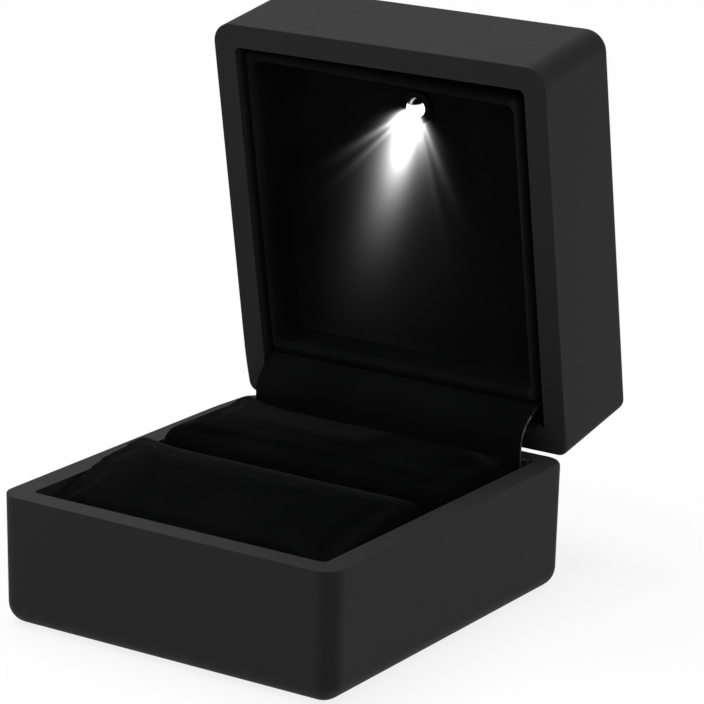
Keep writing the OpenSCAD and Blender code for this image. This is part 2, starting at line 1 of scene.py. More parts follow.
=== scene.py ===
# Ring box with a lamp in its lid, shown open. Metres, +Z up, front at -Y.
# The origin is at the middle of the base's underside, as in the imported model.
import math

import bmesh
import bpy
from mathutils import Matrix, Vector, noise


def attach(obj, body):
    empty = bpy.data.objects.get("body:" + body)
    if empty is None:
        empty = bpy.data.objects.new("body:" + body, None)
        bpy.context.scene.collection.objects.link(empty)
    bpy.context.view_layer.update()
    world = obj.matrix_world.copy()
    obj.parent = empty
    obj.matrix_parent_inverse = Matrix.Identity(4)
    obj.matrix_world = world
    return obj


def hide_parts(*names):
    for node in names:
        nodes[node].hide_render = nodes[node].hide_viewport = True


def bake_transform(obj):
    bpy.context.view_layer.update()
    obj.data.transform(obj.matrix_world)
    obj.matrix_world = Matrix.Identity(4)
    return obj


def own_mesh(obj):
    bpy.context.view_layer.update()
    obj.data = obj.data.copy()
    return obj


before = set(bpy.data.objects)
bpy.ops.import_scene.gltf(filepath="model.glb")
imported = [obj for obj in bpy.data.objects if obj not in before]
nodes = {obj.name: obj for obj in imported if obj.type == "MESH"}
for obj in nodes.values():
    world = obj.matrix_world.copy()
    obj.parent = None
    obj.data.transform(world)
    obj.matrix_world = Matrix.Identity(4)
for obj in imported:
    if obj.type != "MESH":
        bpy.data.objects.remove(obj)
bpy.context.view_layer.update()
mm = 0.001

# ---------------------------------------------------------------------------------------
# Camera: a long lens on a tripod, in front of the box, to its right and a little above.
# It leans by about a degree, so the box stands slightly turned in the picture.
azimuth, elevation, lean = math.radians(33.238), math.radians(16.289), math.radians(1.115)
aim_at = Vector((10.262 * mm, 0, 40.304 * mm))
camera_distance = 518.44 * mm
image_px = 704
focal_px = 3492.9
lens_axis_px = (347.3, 361.7)
film_width = 36
backward = Vector((math.sin(azimuth) * math.cos(elevation),
                   -math.cos(azimuth) * math.cos(elevation), math.sin(elevation)))
level = Vector((0, 0, 1)).cross(backward).normalized()
upright = backward.cross(level)
image_right = level * math.cos(lean) + upright * math.sin(lean)
image_top = upright * math.cos(lean) - level * math.sin(lean)
bpy.ops.object.camera_add(location=aim_at + backward * camera_distance)
camera = bpy.context.active_object
camera.name = "camera"
camera.rotation_euler = Matrix((image_right, image_top, backward)).transposed().to_euler()
camera.data.sensor_width = film_width
camera.data.lens = film_width * focal_px / image_px
camera.data.shift_x = (image_px / 2 - lens_axis_px[0]) / image_px
camera.data.shift_y = (lens_axis_px[1] - image_px / 2) / image_px
camera.data.clip_start = 0.01
camera.data.clip_end = 50
bpy.context.scene.camera = camera
bpy.context.scene.view_settings.view_transform = "Standard"

# ---------------------------------------------------------------------------------------
# Floor and light: a white sweep under a broad soft box, with a weak, even light all round.
# The floor keeps a pale shadow; seen directly or in metal it is as white as the backdrop.
floor_size = 12
floor_drop = 0.02 * mm
floor_white = 0.8
floor_shadow_share = 0.20
floor_glow = 0.834
room_light = 0.42


def add_node(tree, kind, place=(0, 0), **settings):
    node = tree.nodes.new(kind)
    node.location = place
    for name, value in settings.items():
        setattr(node, name, value)
    return node


def seen_directly(tree):
    """1 for rays from the camera, from gloss and through glass, 0 for the light that bounces."""
    path = add_node(tree, "ShaderNodeLightPath")
    most = path.outputs["Is Camera Ray"]
    for name in ("Is Glossy Ray", "Is Transmission Ray"):
        either = add_node(tree, "ShaderNodeMath", operation="MAXIMUM")
        tree.links.new(most, either.inputs[0])
        tree.links.new(path.outputs[name], either.inputs[1])
        most = either.outputs[0]
    return most


def add_grey(tree, kind, grey, strength=None):
    """A shader of one grey, and its strength where it gives light."""
    shader = add_node(tree, kind)
    shader.inputs["Color"].default_value = (grey, grey, grey, 1)
    if strength is not None:
        shader.inputs["Strength"].default_value = strength
    return shader.outputs[0]


def join_by_ray(tree, bounced, direct, output_kind):
    """Uses one shader for the light that bounces, and the other where it is seen directly."""
    both = add_node(tree, "ShaderNodeMixShader")
    tree.links.new(seen_directly(tree), both.inputs[0])
    tree.links.new(bounced, both.inputs[1])
    tree.links.new(direct, both.inputs[2])
    tree.links.new(both.outputs[0], add_node(tree, output_kind).inputs["Surface"])


bpy.ops.object.select_all(action="DESELECT")
bpy.ops.mesh.primitive_plane_add(size=floor_size, location=(0, 0, -floor_drop))
floor = bpy.context.active_object
floor.name = "floor"
floor_paint = bpy.data.materials.new("white_floor")
floor_paint.use_nodes = True
tree = floor_paint.node_tree
tree.nodes.clear()
seen = add_node(tree, "ShaderNodeAddShader")
tree.links.new(add_grey(tree, "ShaderNodeBsdfDiffuse", floor_shadow_share), seen.inputs[0])
tree.links.new(add_grey(tree, "ShaderNodeEmission", 1, floor_glow), seen.inputs[1])
join_by_ray(tree, add_grey(tree, "ShaderNodeBsdfDiffuse", floor_white), seen.outputs[0],
            "ShaderNodeOutputMaterial")
floor.data.materials.append(floor_paint)

world = bpy.data.worlds.new("studio")
bpy.context.scene.world = world
world.use_nodes = True
tree = world.node_tree
tree.nodes.clear()
join_by_ray(tree, add_grey(tree, "ShaderNodeBackground", 1, room_light),
            add_grey(tree, "ShaderNodeBackground", 1, 1), "ShaderNodeOutputWorld")


def add_soft_box(name, place, look_at, size, watts):
    bpy.ops.object.light_add(type="AREA", location=place)
    lamp = bpy.context.active_object
    lamp.name = name
    lamp.rotation_euler = (Vector(look_at) - Vector(place)).to_track_quat("-Z", "Y").to_euler()
    lamp.data.shape = "SQUARE"
    lamp.data.size = size
    lamp.data.energy = watts


add_soft_box("overhead_soft_box", place=(-0.25, -0.05, 1.1), look_at=(0, 0, 0.04),
             size=0.9, watts=6.5)
add_soft_box("side_soft_box", place=(1.1, -0.35, 0.55), look_at=(0, 0, 0.05),
             size=0.7, watts=0.7)

# ---------------------------------------------------------------------------------------
# Base case: a thick-walled box moulded in black plastic and sprayed with a soft-touch paint.
# Its bottom edges are well rounded, its rim is flat, and a notch at the back takes the hinge.
case_wide, case_deep, base_high = 60 * mm, 65.6 * mm, 20.4 * mm
wall, base_floor = 3.8 * mm, 2.2 * mm
corner_round, inner_round = 3.4 * mm, 1 * mm
bottom_round, rim_round, rear_rim_round = 3.3 * mm, 0.4 * mm, 0.68 * mm
corner_steps, edge_steps, inner_steps, rim_steps = 10, 8, 6, 5
draft = 0.18 * mm
pin_at = Vector((0, 32.6 * mm, 20.95 * mm))
notch_half_wide, notch_round = 13.25 * mm, 1.55 * mm
overshoot = 1 * mm          # how far a cutter reaches past what it cuts
slack = 0.01 * mm           # how far a corner may lie from the place that is asked for
paint_tones = (0.0222, 0.0231, 0.0224), (0.0232, 0.0241, 0.0234)
# The second of these is painted shade: a darker tone for the upright roundings.
paint_rubbed, painted_corner_shade = (0.032, 0.033, 0.032), (0.0148, 0.0154, 0.0149)


def pick_only(piece):
    bpy.ops.object.select_all(action="DESELECT")
    piece.select_set(True)
    bpy.context.view_layer.objects.active = piece


def add_block(name, low, high):
    """A box between two corners, with its place in its mesh."""
    bpy.ops.object.select_all(action="DESELECT")
    low, high = Vector(low), Vector(high)
    bpy.ops.mesh.primitive_cube_add(size=1, location=(low + high) / 2, scale=high - low)
    block = bpy.context.active_object
    block.name = block.data.name = name
    bpy.ops.object.transform_apply(location=True, rotation=True, scale=True)
    return block


def pick(piece, kind, test):
    """In edit mode, selects the edges or faces that pass the test, and nothing else."""
    bpy.ops.mesh.select_mode(type=kind)
    bpy.ops.mesh.select_all(action="DESELECT")
    mesh = bmesh.from_edit_mesh(piece.data)
    for part in mesh.edges if kind == "EDGE" else mesh.faces:
        if test(part):
            part.select_set(True)
    bmesh.update_edit_mesh(piece.data)


def upright_edge(edge):
    run = edge.verts[0].co - edge.verts[1].co
    return abs(run.z) > 0.99 * run.length


def level_edge_at(height):
    return lambda edge: all(abs(v.co.z - height) < slack for v in edge.verts)


def rear_edge_at(height, corner):
    """The level edges at a height that run along the back and round its two corners."""
    return lambda edge: level_edge_at(height)(edge) and all(
        v.co.y > case_deep / 2 - corner - slack for v in edge.verts)


def round_edges(piece, *rounds):
    """Rounds edges off: each round is a test that picks them, a radius and a count of steps."""
    pick_only(piece)
    bpy.ops.object.mode_set(mode="EDIT")
    for test, radius, steps in rounds:
        pick(piece, "EDGE", test)
        bpy.ops.mesh.bevel(offset=radius, offset_type="OFFSET", segments=steps, profile=0.5,
                           affect="EDGES", clamp_overlap=False)
    bpy.ops.object.mode_set(mode="OBJECT")


def apply_modifier(piece, kind, **settings):
    pick_only(piece)
    modifier = piece.modifiers.new(kind.lower(), kind)
    for name, value in settings.items():
        setattr(modifier, name, value)
    bpy.ops.object.modifier_apply(modifier=modifier.name)


def combine(piece, other, operation="DIFFERENCE"):
    """Cuts the other shape away from the piece, or adds it with the operation UNION."""
    apply_modifier(piece, "BOOLEAN", object=other, operation=operation, solver="EXACT")
    bpy.data.objects.remove(other)


def hollow_cutter(low, high, radius):
    """The inside of a moulded box: a block with round upright edges."""
    cutter = add_block("cutter", low, high)
    round_edges(cutter, (upright_edge, radius, inner_steps))
    return cutter


def draw_in(piece, wide_at, narrow_at):
    """Gives the outside its draft: it narrows a little from one height to another."""
    for vert in piece.data.vertices:
        pull = draft * (vert.co.z - wide_at) / (narrow_at - wide_at)
        vert.co.x *= 1 - pull / (case_wide / 2)
        vert.co.y *= 1 - pull / (case_deep / 2)


def ramp(low, high, value):
    """0 at low, 1 at high, and in proportion between them."""
    return min(1, max(0, (value - low) / (high - low)))


def note_edges(piece):
    """Marks the level edges, which hands rub, and the upright ones, which get a painted shade.

    An edge's rounding shows in the normal, which leans away from all three axes.
    """
    wear = piece.data.attributes.new("edge_wear", "FLOAT", "POINT")
    upright_shade = piece.data.attributes.new("painted_upright_shade", "FLOAT", "POINT")
    for v in piece.data.vertices:
        x, y, z = (abs(c) for c in v.normal)
        upright_share = ramp(0.1, 0.5, min(x, y)) * ramp(0.5, 0.2, z)
        wear.data[v.index].value = ramp(0.999, 0.749, max(x, y, z)) * (1 - upright_share)
        upright_shade.data[v.index].value = upright_share


def finish_case(piece):
    """Breaks the sharp edges, marks them for the paint and smooths the roundings."""
    apply_modifier(piece, "BEVEL", width=rim_round, segments=3, limit_method="ANGLE",
                   angle_limit=math.radians(40), use_clamp_overlap=True)
    note_edges(piece)
    bpy.ops.object.shade_smooth_by_angle(angle=math.radians(50))
    apply_modifier(piece, "WEIGHTED_NORMAL", keep_sharp=True, weight=60)


base_case = add_block("base_case", (-case_wide / 2, -case_deep / 2, 0),
                      (case_wide / 2, case_deep / 2, base_high))
round_edges(base_case, (upright_edge, corner_round, corner_steps),
            (level_edge_at(0), bottom_round, edge_steps))
round_edges(base_case, (rear_edge_at(base_high, corner_round), rear_rim_round, rim_steps))
draw_in(base_case, base_high, 0)
combine(base_case, hollow_cutter(
    (wall - case_wide / 2, wall - case_deep / 2, base_floor),
    (case_wide / 2 - wall, case_deep / 2 - wall, base_high + overshoot), inner_round))
combine(base_case, add_block(
    "notch", (-notch_half_wide, case_deep / 2 - wall - overshoot, pin_at.z - notch_round),
    (notch_half_wide, case_deep / 2 + overshoot, base_high + overshoot)))
finish_case(base_case)


def start_material(name):
    """A new material, its node tree, its main shader and the place on the piece."""
    material = bpy.data.materials.new(name)
    material.use_nodes = True
    tree = material.node_tree
    shader = tree.nodes["Principled BSDF"]
    place = add_node(tree, "ShaderNodeTexCoord", (-1400, 0)).outputs["Object"]
    return material, tree, shader, place


def add_noise(tree, place, scale, detail=3, roughness=0.55, stretch=None):
    """Noise with about scale grains per metre, which stretch draws out where it is small."""
    if stretch:
        mapping = add_node(tree, "ShaderNodeMapping", (-1200, 0))
        mapping.inputs["Scale"].default_value = stretch
        tree.links.new(place, mapping.inputs["Vector"])
        place = mapping.outputs[0]
    grains = add_node(tree, "ShaderNodeTexNoise", (-1000, 0))
    grains.inputs["Scale"].default_value = scale
    grains.inputs["Detail"].default_value = detail
    grains.inputs["Roughness"].default_value = roughness
    tree.links.new(place, grains.inputs["Vector"])
    return grains.outputs["Fac"]


def calculate(tree, operation, *values):
    """A math node on sockets and numbers."""
    result = add_node(tree, "ShaderNodeMath", operation=operation)
    for index, value in enumerate(values):
        if hasattr(value, "is_linked"):
            tree.links.new(value, result.inputs[index])
        else:
            result.inputs[index].default_value = value
    return result.outputs[0]


def blend_colours(tree, share, first, second):
    """The first colour where share is 0 and the second where it is 1."""
    mix = add_node(tree, "ShaderNodeMix", (-500, 0), data_type="RGBA")
    tree.links.new(share, mix.inputs["Factor"])
    for socket, colour in ((mix.inputs[6], first), (mix.inputs[7], second)):
        if hasattr(colour, "is_linked"):
            tree.links.new(colour, socket)
        else:
            socket.default_value = (*colour, 1)
    return mix.outputs[2]


def spread(tree, value, low, high, to_low=0.0, to_high=1.0):
    """Spreads the span from low to high over another one, and holds its ends beyond it."""
    span = add_node(tree, "ShaderNodeMapRange", (-750, 0), clamp=True)
    for name, number in (("From Min", low), ("From Max", high),
                         ("To Min", to_low), ("To Max", to_high)):
        span.inputs[name].default_value = number
    tree.links.new(value, span.inputs["Value"])
    return span.outputs[0]


def read_attribute(tree, name):
    return add_node(tree, "ShaderNodeAttribute", attribute_name=name).outputs["Fac"]


def add_bump(tree, shader, height, depth, strength=1.0):
    bump = add_node(tree, "ShaderNodeBump", (-250, -300))
    bump.inputs["Distance"].default_value = depth
    bump.inputs["Strength"].default_value = strength
    tree.links.new(height, bump.inputs["Height"])
    tree.links.new(bump.outputs[0], shader.inputs["Normal"])


def dress(piece, material):
    piece.data.materials.clear()
    piece.data.materials.append(material)


soft_touch, tree, shader, place = start_material("soft_touch_paint")
shader.inputs["Specular IOR Level"].default_value = 0.08
cloudy = spread(tree, add_noise(tree, place, 45, 4), 0.35, 0.65)
broken = spread(tree, add_noise(tree, place, 320, 5), 0.42, 0.62)
rubbed = calculate(tree, "MULTIPLY", read_attribute(tree, "edge_wear"), broken)
tone = blend_colours(tree, cloudy, *paint_tones)
tone = blend_colours(tree, rubbed, tone, paint_rubbed)
# Painted shade: the upright roundings are painted darker.
tone = blend_colours(tree, read_attribute(tree, "painted_upright_shade"), tone, painted_corner_shade)
tree.links.new(tone, shader.inputs["Base Color"])
tree.links.new(spread(tree, add_noise(tree, place, 900, 4), 0.3, 0.7, 0.60, 0.66),
               shader.inputs["Roughness"])
add_bump(tree, shader, add_noise(tree, place, 3800, 2), 0.006 * mm, 0.5)

dress(base_case, soft_touch)
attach(base_case, "base")
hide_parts("base_shell")

# ---------------------------------------------------------------------------------------
# Base card: grey board cut to the inside of the base, which closes the cushions below.
# It lies loose on the floor of the case, and the flap stands on it behind the pads.
card, tree, shader, place = start_material("grey_card")
fibres = spread(tree, add_noise(tree, place, 1400, 6, 0.7, (1, 3, 1)), 0.35, 0.65)
tree.links.new(blend_colours(tree, fibres, (0.20, 0.17, 0.13), (0.30, 0.26, 0.21)),
               shader.inputs["Base Color"])
shader.inputs["Roughness"].default_value = 0.9
add_bump(tree, shader, fibres, 0.03 * mm)
dress(nodes["base_board"], card)

# ---------------------------------------------------------------------------------------
# Ring cushions: two foam pads wrapped in black velvet, pressed side by side into the base.
# The ring stands in the slit between them. The front pad slopes up to it, the rear is level.
pad_half_wide, pad_seat, slit_half = 26.1 * mm, 3.4 * mm, 0.25 * mm
front_pad_y, rear_pad_y = (-28.9 * mm, -slit_half), (slit_half, 26.6 * mm)
crest_rise, rear_rise, front_dip = 2.3 * mm, 2.1 * mm, 2.4 * mm
left_lift, right_lift, rear_left_lift = 2.5 * mm, 0.3 * mm, 1.3 * mm
slit_drop, rear_edge_drop = 0.8 * mm, 0.4 * mm
front_end_power, rear_end_power = 7, 8          # the higher, the nearer the ends the lift starts
pad_cuts, pad_voxel = 47, 0.6 * mm
pad_shoulder = 5 * mm
end_fullness, side_fullness = 300, 14           # the higher, the squarer the pad's edge
plump_scale, plump_pressure, plump_frames = 10, 4, 20
plump_cap, plump_foot = 0.5 * mm, 1 * mm
nap_lift, wrinkle_long, nap_long = 0.12 * mm, 9 * mm, 2.2 * mm
# The pads' velvet is painted darker than the lining's, as shade on their up-facing tops. Its pale
# tone serves the nap's patches and the painted highlights.
pad_dark, pad_nap_and_highlight, pad_sheen = (0.0002, 0.0005, 0.0003), (0.0078, 0.0082, 0.0079), 0.002
# Painted highlights, in millimetres: the places and half-widths of two soft marks.
crest_highlight_y, crest_highlight_half = -3.4, 1.9
spot_highlight_at, spot_highlight_half = (22.5, 20), (3.2, 1.3)


def smooth_step(low, high, value):
    t = max(0.0, min(1.0, (value - low) / (high - low)))
    return t * t * (3 - 2 * t)


def crown(t, power):
    return (1 - min(1.0, abs(t)) ** power) ** 0.5


# In both ridges u runs from -1 at the pad's left end to 1 at its right end, and v from -1 at
# its front edge to 1 at its rear edge.
def front_ridge(u, v):
    """Height over the rim: lowest in front, highest where the ends are pushed up by the case."""
    lift = (left_lift if u < 0 else right_lift) * smooth_step(-1.4, -0.1, v)
    lift *= 1 - 0.45 * smooth_step(-0.1, 0.6, v)
    lift = (lift - slit_drop * smooth_step(0.7, 1.05, v)) * abs(u) ** front_end_power
    return -front_dip + (crest_rise + front_dip) * smooth_step(-1.2, 0.75, v) + lift


def rear_ridge(u, v):
    """Height over the rim: level, a little lower at the slit and higher at the left end."""
    lift = 0
    if u < 0:
        lift = (rear_left_lift + slit_drop * smooth_step(0.4, 1, v)) * abs(u) ** rear_end_power
    return rear_rise + lift - rear_edge_drop * (1 - smooth_step(-1, -0.6, v))


def front_painted_highlight(x, y, z):
    """Painted highlight: lighter along the slit, and on the left end."""
    crest = math.exp(-((y - crest_highlight_y) / crest_highlight_half) ** 2)
    crest *= smooth_step(-27, -20, x) * smooth_step(26, 20, x)
    end = smooth_step(-14, -22, x) * smooth_step(-24, -16, y)
    return max(crest, 0.5 * end)


def rear_painted_highlight(x, y, z):
    """Painted highlight behind the slit: a band along the flap, and a spot at the right end."""
    band = smooth_step(12, 17, y) * smooth_step(25, 22.5, y)
    band *= smooth_step(6, 1, x) * smooth_step(-27, -22, x)
    spot = math.exp(-((x - spot_highlight_at[0]) / spot_highlight_half[0]) ** 2
                    - ((y - spot_highlight_at[1]) / spot_highlight_half[1]) ** 2)
    return max(band, 0.8 * spot)


def make_pad(name, span, ridge):
    """A wrapped foam pad: a block, cut fine, whose top is moved to the pad's crowned form."""
    front, back = span
    middle, half_deep = (front + back) / 2, (back - front) / 2
    pad = add_block(name, (-pad_half_wide, front, pad_seat), (pad_half_wide, back, base_high))
    bpy.ops.object.mode_set(mode="EDIT")
    bpy.ops.mesh.select_all(action="SELECT")
    bpy.ops.mesh.subdivide(number_cuts=pad_cuts)
    bpy.ops.object.mode_set(mode="OBJECT")
    shoulder = base_high - pad_shoulder
    for vert in pad.data.vertices:
        u, v = vert.co.x / pad_half_wide, (vert.co.y - middle) / half_deep
        share = (vert.co.z - pad_seat) / (base_high - pad_seat)
        top = base_high + ridge(u, v)
        top = shoulder + (top - shoulder) * crown(u, end_fullness) * crown(v, side_fullness)
        vert.co.z = pad_seat + share * (top - pad_seat)
    apply_modifier(pad, "REMESH", mode="VOXEL", voxel_size=pad_voxel)
    return pad


def plump(pad):
    """Lets the wrap swell under the foam's push, as far as the cap allows.

    The cloth is worked at ten times its size, where its own stiffness suits the pressure.
    """
    start = [vert.co.copy() for vert in pad.data.vertices]
    foot = pad.vertex_groups.new(name="foot")
    foot.add([i for i, co in enumerate(start) if co.z < pad_seat + plump_foot], 1, "REPLACE")
    pad.data.transform(Matrix.Scale(plump_scale, 4))
    pick_only(pad)
    cloth = pad.modifiers.new("wrap", "CLOTH")
    cloth.settings.use_pressure = True
    cloth.settings.uniform_pressure_force = plump_pressure
    cloth.settings.effector_weights.gravity = 0
    cloth.settings.vertex_group_mass = "foot"
    cloth.point_cache.frame_start, cloth.point_cache.frame_end = 1, plump_frames
    for frame_number in range(1, plump_frames + 1):
        bpy.context.scene.frame_set(frame_number)
    bpy.ops.object.modifier_apply(modifier=cloth.name)
    bpy.context.scene.frame_set(1)
    pad.vertex_groups.clear()
    for vert, place in zip(pad.data.vertices, start):
        move = vert.co / plump_scale - place
        if move.length > plump_cap:
            move *= plump_cap / move.length
        vert.co = place + move


def roughen(pad):
    """Wrinkles and nap: the wrap lies unevenly by about a tenth of a millimetre."""
    outwards = [vert.normal.copy() for vert in pad.data.vertices]
    for vert, out in zip(pad.data.vertices, outwards):
        slow = noise.noise(vert.co / wrinkle_long)
        quick = noise.noise(vert.co / nap_long)
        vert.co += out * nap_lift * (slow + 0.4 * quick)


def note_painted_highlight(piece, measure):
    """Writes the painted highlight attribute from a measure of the place in millimetres."""
    lighter_share = piece.data.attributes.new("painted_highlight", "FLOAT", "POINT")
    for v in piece.data.vertices:
        lighter_share.data[v.index].value = measure(*(c / mm for c in v.co))


def add_velvet(name, dark, light, sheen, add_painted_light=None):
    """Velvet: fine pile with random lighter patches, lighter still where the attribute holds a
    painted highlight.
    """
    material, tree, shader, place = start_material(name)
    patches = spread(tree, add_noise(tree, place, 70, 3, 0.5), 0.38, 0.62, 0.0, 0.22)
    pile = add_noise(tree, place, 5200, 3, 0.6)
    lighter_share = add_node(tree, "ShaderNodeMath", operation="ADD", use_clamp=True)
    tree.links.new(patches, lighter_share.inputs[0])
    tree.links.new(read_attribute(tree, "painted_highlight"), lighter_share.inputs[1])
    shade = calculate(tree, "MULTIPLY", lighter_share.outputs[0],
                      spread(tree, pile, 0.3, 0.7, 0.6, 1.0))
    tree.links.new(blend_colours(tree, shade, dark, light), shader.inputs["Base Color"])
    shader.inputs["Roughness"].default_value = 0.95
    shader.inputs["Specular IOR Level"].default_value = 0.03
    shader.inputs["Sheen Weight"].default_value = sheen
    shader.inputs["Sheen Roughness"].default_value = 0.4
    shader.inputs["Sheen Tint"].default_value = (0.9, 1.0, 0.95, 1)
    add_bump(tree, shader, pile, 0.12 * mm, 0.8)
    if add_painted_light:
        add_painted_light(tree, shader, place)
    return material


paddings = [make_pad("front_pad", front_pad_y, front_ridge),
            make_pad("rear_pad", rear_pad_y, rear_ridge)]
for pad in paddings:
    plump(pad)
shaded_pad_velvet = add_velvet("shaded_pad_velvet", pad_dark, pad_nap_and_highlight, pad_sheen)
for pad, node, measure in zip(paddings, ("front_cushion", "rear_cushion"),
                              (front_painted_highlight, rear_painted_highlight)):
    pick_only(pad)
    bpy.ops.object.shade_smooth()
    apply_modifier(pad, "SMOOTH", factor=0.5, iterations=2)
    apply_modifier(pad, "SUBSURF", levels=1, render_levels=1)
    roughen(pad)
    note_painted_highlight(pad, measure)
    dress(pad, shaded_pad_velvet)
    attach(pad, "base")
    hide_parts(node)
    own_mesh(pad)

# ---------------------------------------------------------------------------------------
# Hinge flap: velvet on thin white backing, which hides the hinge from inside.
# It stands behind the rear pad, bends back over the hinge and is glued under the lid lining.
flap_half_wide, flap_thick = 24.8 * mm, 0.4 * mm
flap_stand = (27.0 * mm, 22.8 * mm)
flap_bend = ((27.0 * mm, 25.4 * mm), (29.6 * mm, 27.5 * mm))
flap_join = (33.06 * mm, 28.72 * mm)
flap_end = (37.98 * mm, 29.59 * mm)
flap_steps = 12
frayed_from, frayed_to = 24.0 * mm, 25.4 * mm   # the heights over which the cut edge gets ragged
tucked_from, tucked_to = 26.9 * mm, 27.3 * mm   # and over which it goes under the lining
velvet_dark, velvet_nap_and_highlight, velvet_sheen = (0.0034, 0.0041, 0.0036), (0.0150, 0.0160, 0.0153), 0.01
thread_dark, thread_pale = (0.004, 0.004, 0.004), (0.20, 0.20, 0.19)

flap = add_block("hinge_flap", (-flap_half_wide, flap_stand[0] - flap_thick / 2, pad_seat),
                 (flap_half_wide, flap_stand[0] + flap_thick / 2, flap_stand[1]))


def flap_point(t):
    """A point on the bend, from where the flap stands to where it meets the lining."""
    shares = ((1 - t) ** 3, 3 * t * (1 - t) ** 2, 3 * t * t * (1 - t), t ** 3)
    points = (flap_stand, *flap_bend, flap_join)
    return Vector((0, *(sum(k * p[i] for k, p in zip(shares, points)) for i in (0, 1))))


course = [flap_point(step / flap_steps) for step in range(1, flap_steps + 1)]
course.append(Vector((0, *flap_end)))
bpy.ops.object.mode_set(mode="EDIT")
pick(flap, "FACE", lambda face: face.normal.z > 0.9)
last = Vector((0, *flap_stand))
for index, point in enumerate(course):
    bpy.ops.mesh.extrude_region_move(TRANSFORM_OT_translate={"value": (0, 0, flap_thick / 4)})
    run = (course[min(index + 1, len(course) - 1)] - last).normalized()
    to_front = Vector((0, -run.z, run.y)) * flap_thick / 2
    mesh = bmesh.from_edit_mesh(flap.data)
    ends = sorted((v for v in mesh.verts if v.select), key=lambda v: (v.co - last).dot(to_front))
    for vert in ends[:2]:
        vert.co.yz = (point - to_front).yz
    for vert in ends[2:]:
        vert.co.yz = (point + to_front).yz
    bmesh.update_edit_mesh(flap.data)
    last = point
bpy.ops.mesh.select_all(action="SELECT")
bpy.ops.mesh.normals_make_consistent(inside=False)
bpy.ops.object.mode_set(mode="OBJECT")

cut_edge, tree, shader, place = start_material("cut_edge")
split = add_node(tree, "ShaderNodeSeparateXYZ")
tree.links.new(place, split.inputs[0])
frayed = spread(tree, split.outputs["Z"], frayed_from, frayed_to, 0.25, 1)
tucked = spread(tree, split.outputs["Z"], tucked_from, tucked_to, 1, 0)
threads = spread(tree, add_noise(tree, place, 1700, 4, 0.7), 0.42, 0.56)
ragged = calculate(tree, "MULTIPLY", calculate(tree, "MULTIPLY", frayed, tucked), threads)
tree.links.new(blend_colours(tree, ragged, thread_dark, thread_pale),
               shader.inputs["Base Color"])
shader.inputs["Roughness"].default_value = 0.8
flap.data.materials.append(add_velvet("black_velvet", velvet_dark, velvet_nap_and_highlight, velvet_sheen))
flap.data.materials.append(cut_edge)
for face in flap.data.polygons:
    face.material_index = 1 if abs(face.normal.x) > 0.9 else 0
pick_only(flap)
bpy.ops.object.shade_smooth_by_angle(angle=math.radians(50))
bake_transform(flap)
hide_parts("hinge_cover")

# ---------------------------------------------------------------------------------------
# Lid case: moulded and painted as the base, a little less deep, with a gentler top edge.
# Four posts and three bosses inside carry the lining and the lamp's board.
open_turn = math.radians(80)
lid_rim, lid_high, lid_roof = 20.55 * mm, 19.6 * mm, 2.2 * mm
lid_front = -31.0 * mm
lid_top_round, lid_hinge_round = 1.6 * mm, 1.8 * mm
post_wide, boss_wide = 5 * mm, 4.2 * mm
post_low, boss_low = 30.55 * mm, 32.35 * mm
post_at = [(x, y) for x in (-20.5 * mm, 20.5 * mm) for y in (-20 * mm, 19.76 * mm)]
boss_at = [(-10.4 * mm, -21.8 * mm), (10.4 * mm, -21.8 * mm), (10.4 * mm, 6.0 * mm)]
rooted = 0.1 * mm           # how far the posts and bosses stand into the lid's roof


def swing_open(piece):
    """Turns a piece that was modelled with the lid shut to its place on the open lid."""
    pick_only(piece)
    turn = Matrix.Translation(pin_at) @ Matrix.Rotation(-open_turn, 4, "X")
    piece.data.transform(turn @ Matrix.Translation(-pin_at))


def add_rod(x, y, low, high, wide):
    """An upright round bar, with its place in its mesh."""
    bpy.ops.object.select_all(action="DESELECT")
    bpy.ops.mesh.primitive_cylinder_add(vertices=32, radius=wide / 2, depth=high - low,
                                        location=(x, y, (low + high) / 2))
    bpy.ops.object.transform_apply(location=True, rotation=True, scale=True)
    return bpy.context.active_object


lid_case = add_block("lid_case", (-case_wide / 2, lid_front, lid_rim),
                     (case_wide / 2, case_deep / 2, lid_rim + lid_high))
round_edges(lid_case,
            (lambda edge: upright_edge(edge) and edge.verts[0].co.y < 0,
             corner_round, corner_steps),
            (lambda edge: upright_edge(edge) and edge.verts[0].co.y > 0,
             lid_hinge_round, corner_steps),
            (level_edge_at(lid_rim + lid_high), lid_top_round, edge_steps))
round_edges(lid_case, (rear_edge_at(lid_rim, lid_hinge_round), rear_rim_round, rim_steps))
draw_in(lid_case, lid_rim, lid_rim + lid_high)
lid_inside = lid_rim + lid_high - lid_roof
combine(lid_case, hollow_cutter(
    (wall - case_wide / 2, wall + lid_front, lid_rim - overshoot),
    (case_wide / 2 - wall, case_deep / 2 - wall, lid_inside), inner_round))
combine(lid_case, add_block(
    "notch", (-notch_half_wide, case_deep / 2 - wall - overshoot, lid_rim - overshoot),
    (notch_half_wide, case_deep / 2 + overshoot, pin_at.z + notch_round)))
for places, low, wide in ((post_at, post_low, post_wide), (boss_at, boss_low, boss_wide)):
    for x, y in places:
        combine(lid_case, add_rod(x, y, low, lid_inside + rooted, wide), "UNION")
finish_case(lid_case)
swing_open(lid_case)
dress(lid_case, soft_touch)
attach(lid_case, "lid")
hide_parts("lid_shell")

# ---------------------------------------------------------------------------------------
# Lid lining: a shallow dish of board wrapped in velvet, with a rolled lip all round.
# It is stuck to the four posts, a little askew. The lamp's light down its panel is painted
# emission.
lining_half_wide, lining_thick = 25 * mm, 1.6 * mm
lining_y = (-26 * mm, 24.76 * mm)
lining_low, panel_face, lining_back = 21.15 * mm, 29.15 * mm, 30.15 * mm
lining_corner, lining_inner, lip_round = 1.2 * mm, 0.9 * mm, 0.75 * mm
lamp_x, lamp_y, lamp_hole = 1.5 * mm, -18.2 * mm, 4.4 * mm
lining_voxel = 0.45 * mm
lining_skew = 0.7 * mm      # how far the front edge is turned at each end
